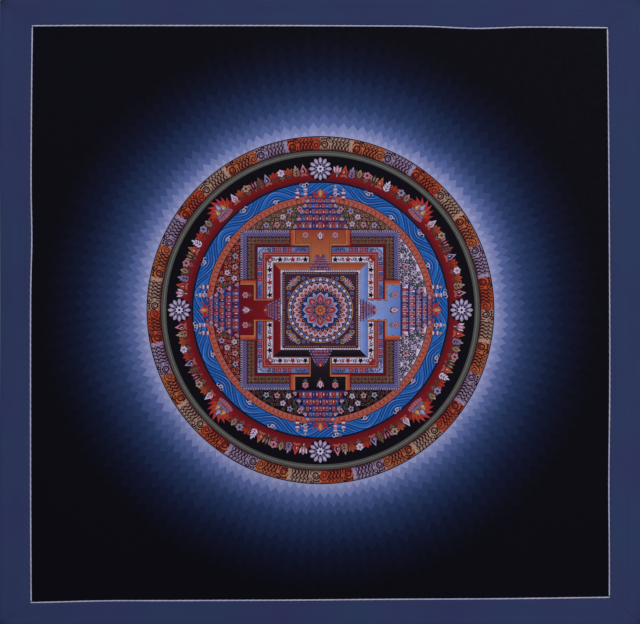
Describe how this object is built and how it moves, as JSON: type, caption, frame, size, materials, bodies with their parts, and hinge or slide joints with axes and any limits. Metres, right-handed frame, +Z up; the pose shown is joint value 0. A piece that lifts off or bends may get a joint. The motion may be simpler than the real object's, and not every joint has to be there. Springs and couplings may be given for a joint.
{
  "type": "thangka scroll painting",
  "caption": "Hung cloth panel painted with a round mandala and a pale glow on a dark ground, edged with thin white piping and framed by a mitred blue cloth border.",
  "frame": {"origin": "middle of the cloth's top edge, where it is hung", "axes": "+Z up along the hung cloth, +X to the viewer's right, and the painted side faces -Y"},
  "size_m": [0.56, 0.0119, 0.546],
  "materials": {
    "painted_canvas": "matt gouache on sized cotton canvas",
    "border_cloth": "matt blue cotton, softly mottled",
    "piping": "thin white cotton piping"
  },
  "bodies": {
    "root": {"painted_canvas": "painted_canvas", "border_top": "border_cloth", "border_right": "border_cloth", "border_bottom": "border_cloth", "border_left": "border_cloth", "piping_top": "piping", "piping_right": "piping", "piping_bottom": "piping", "piping_left": "piping"}
  },
  "joints": []
}
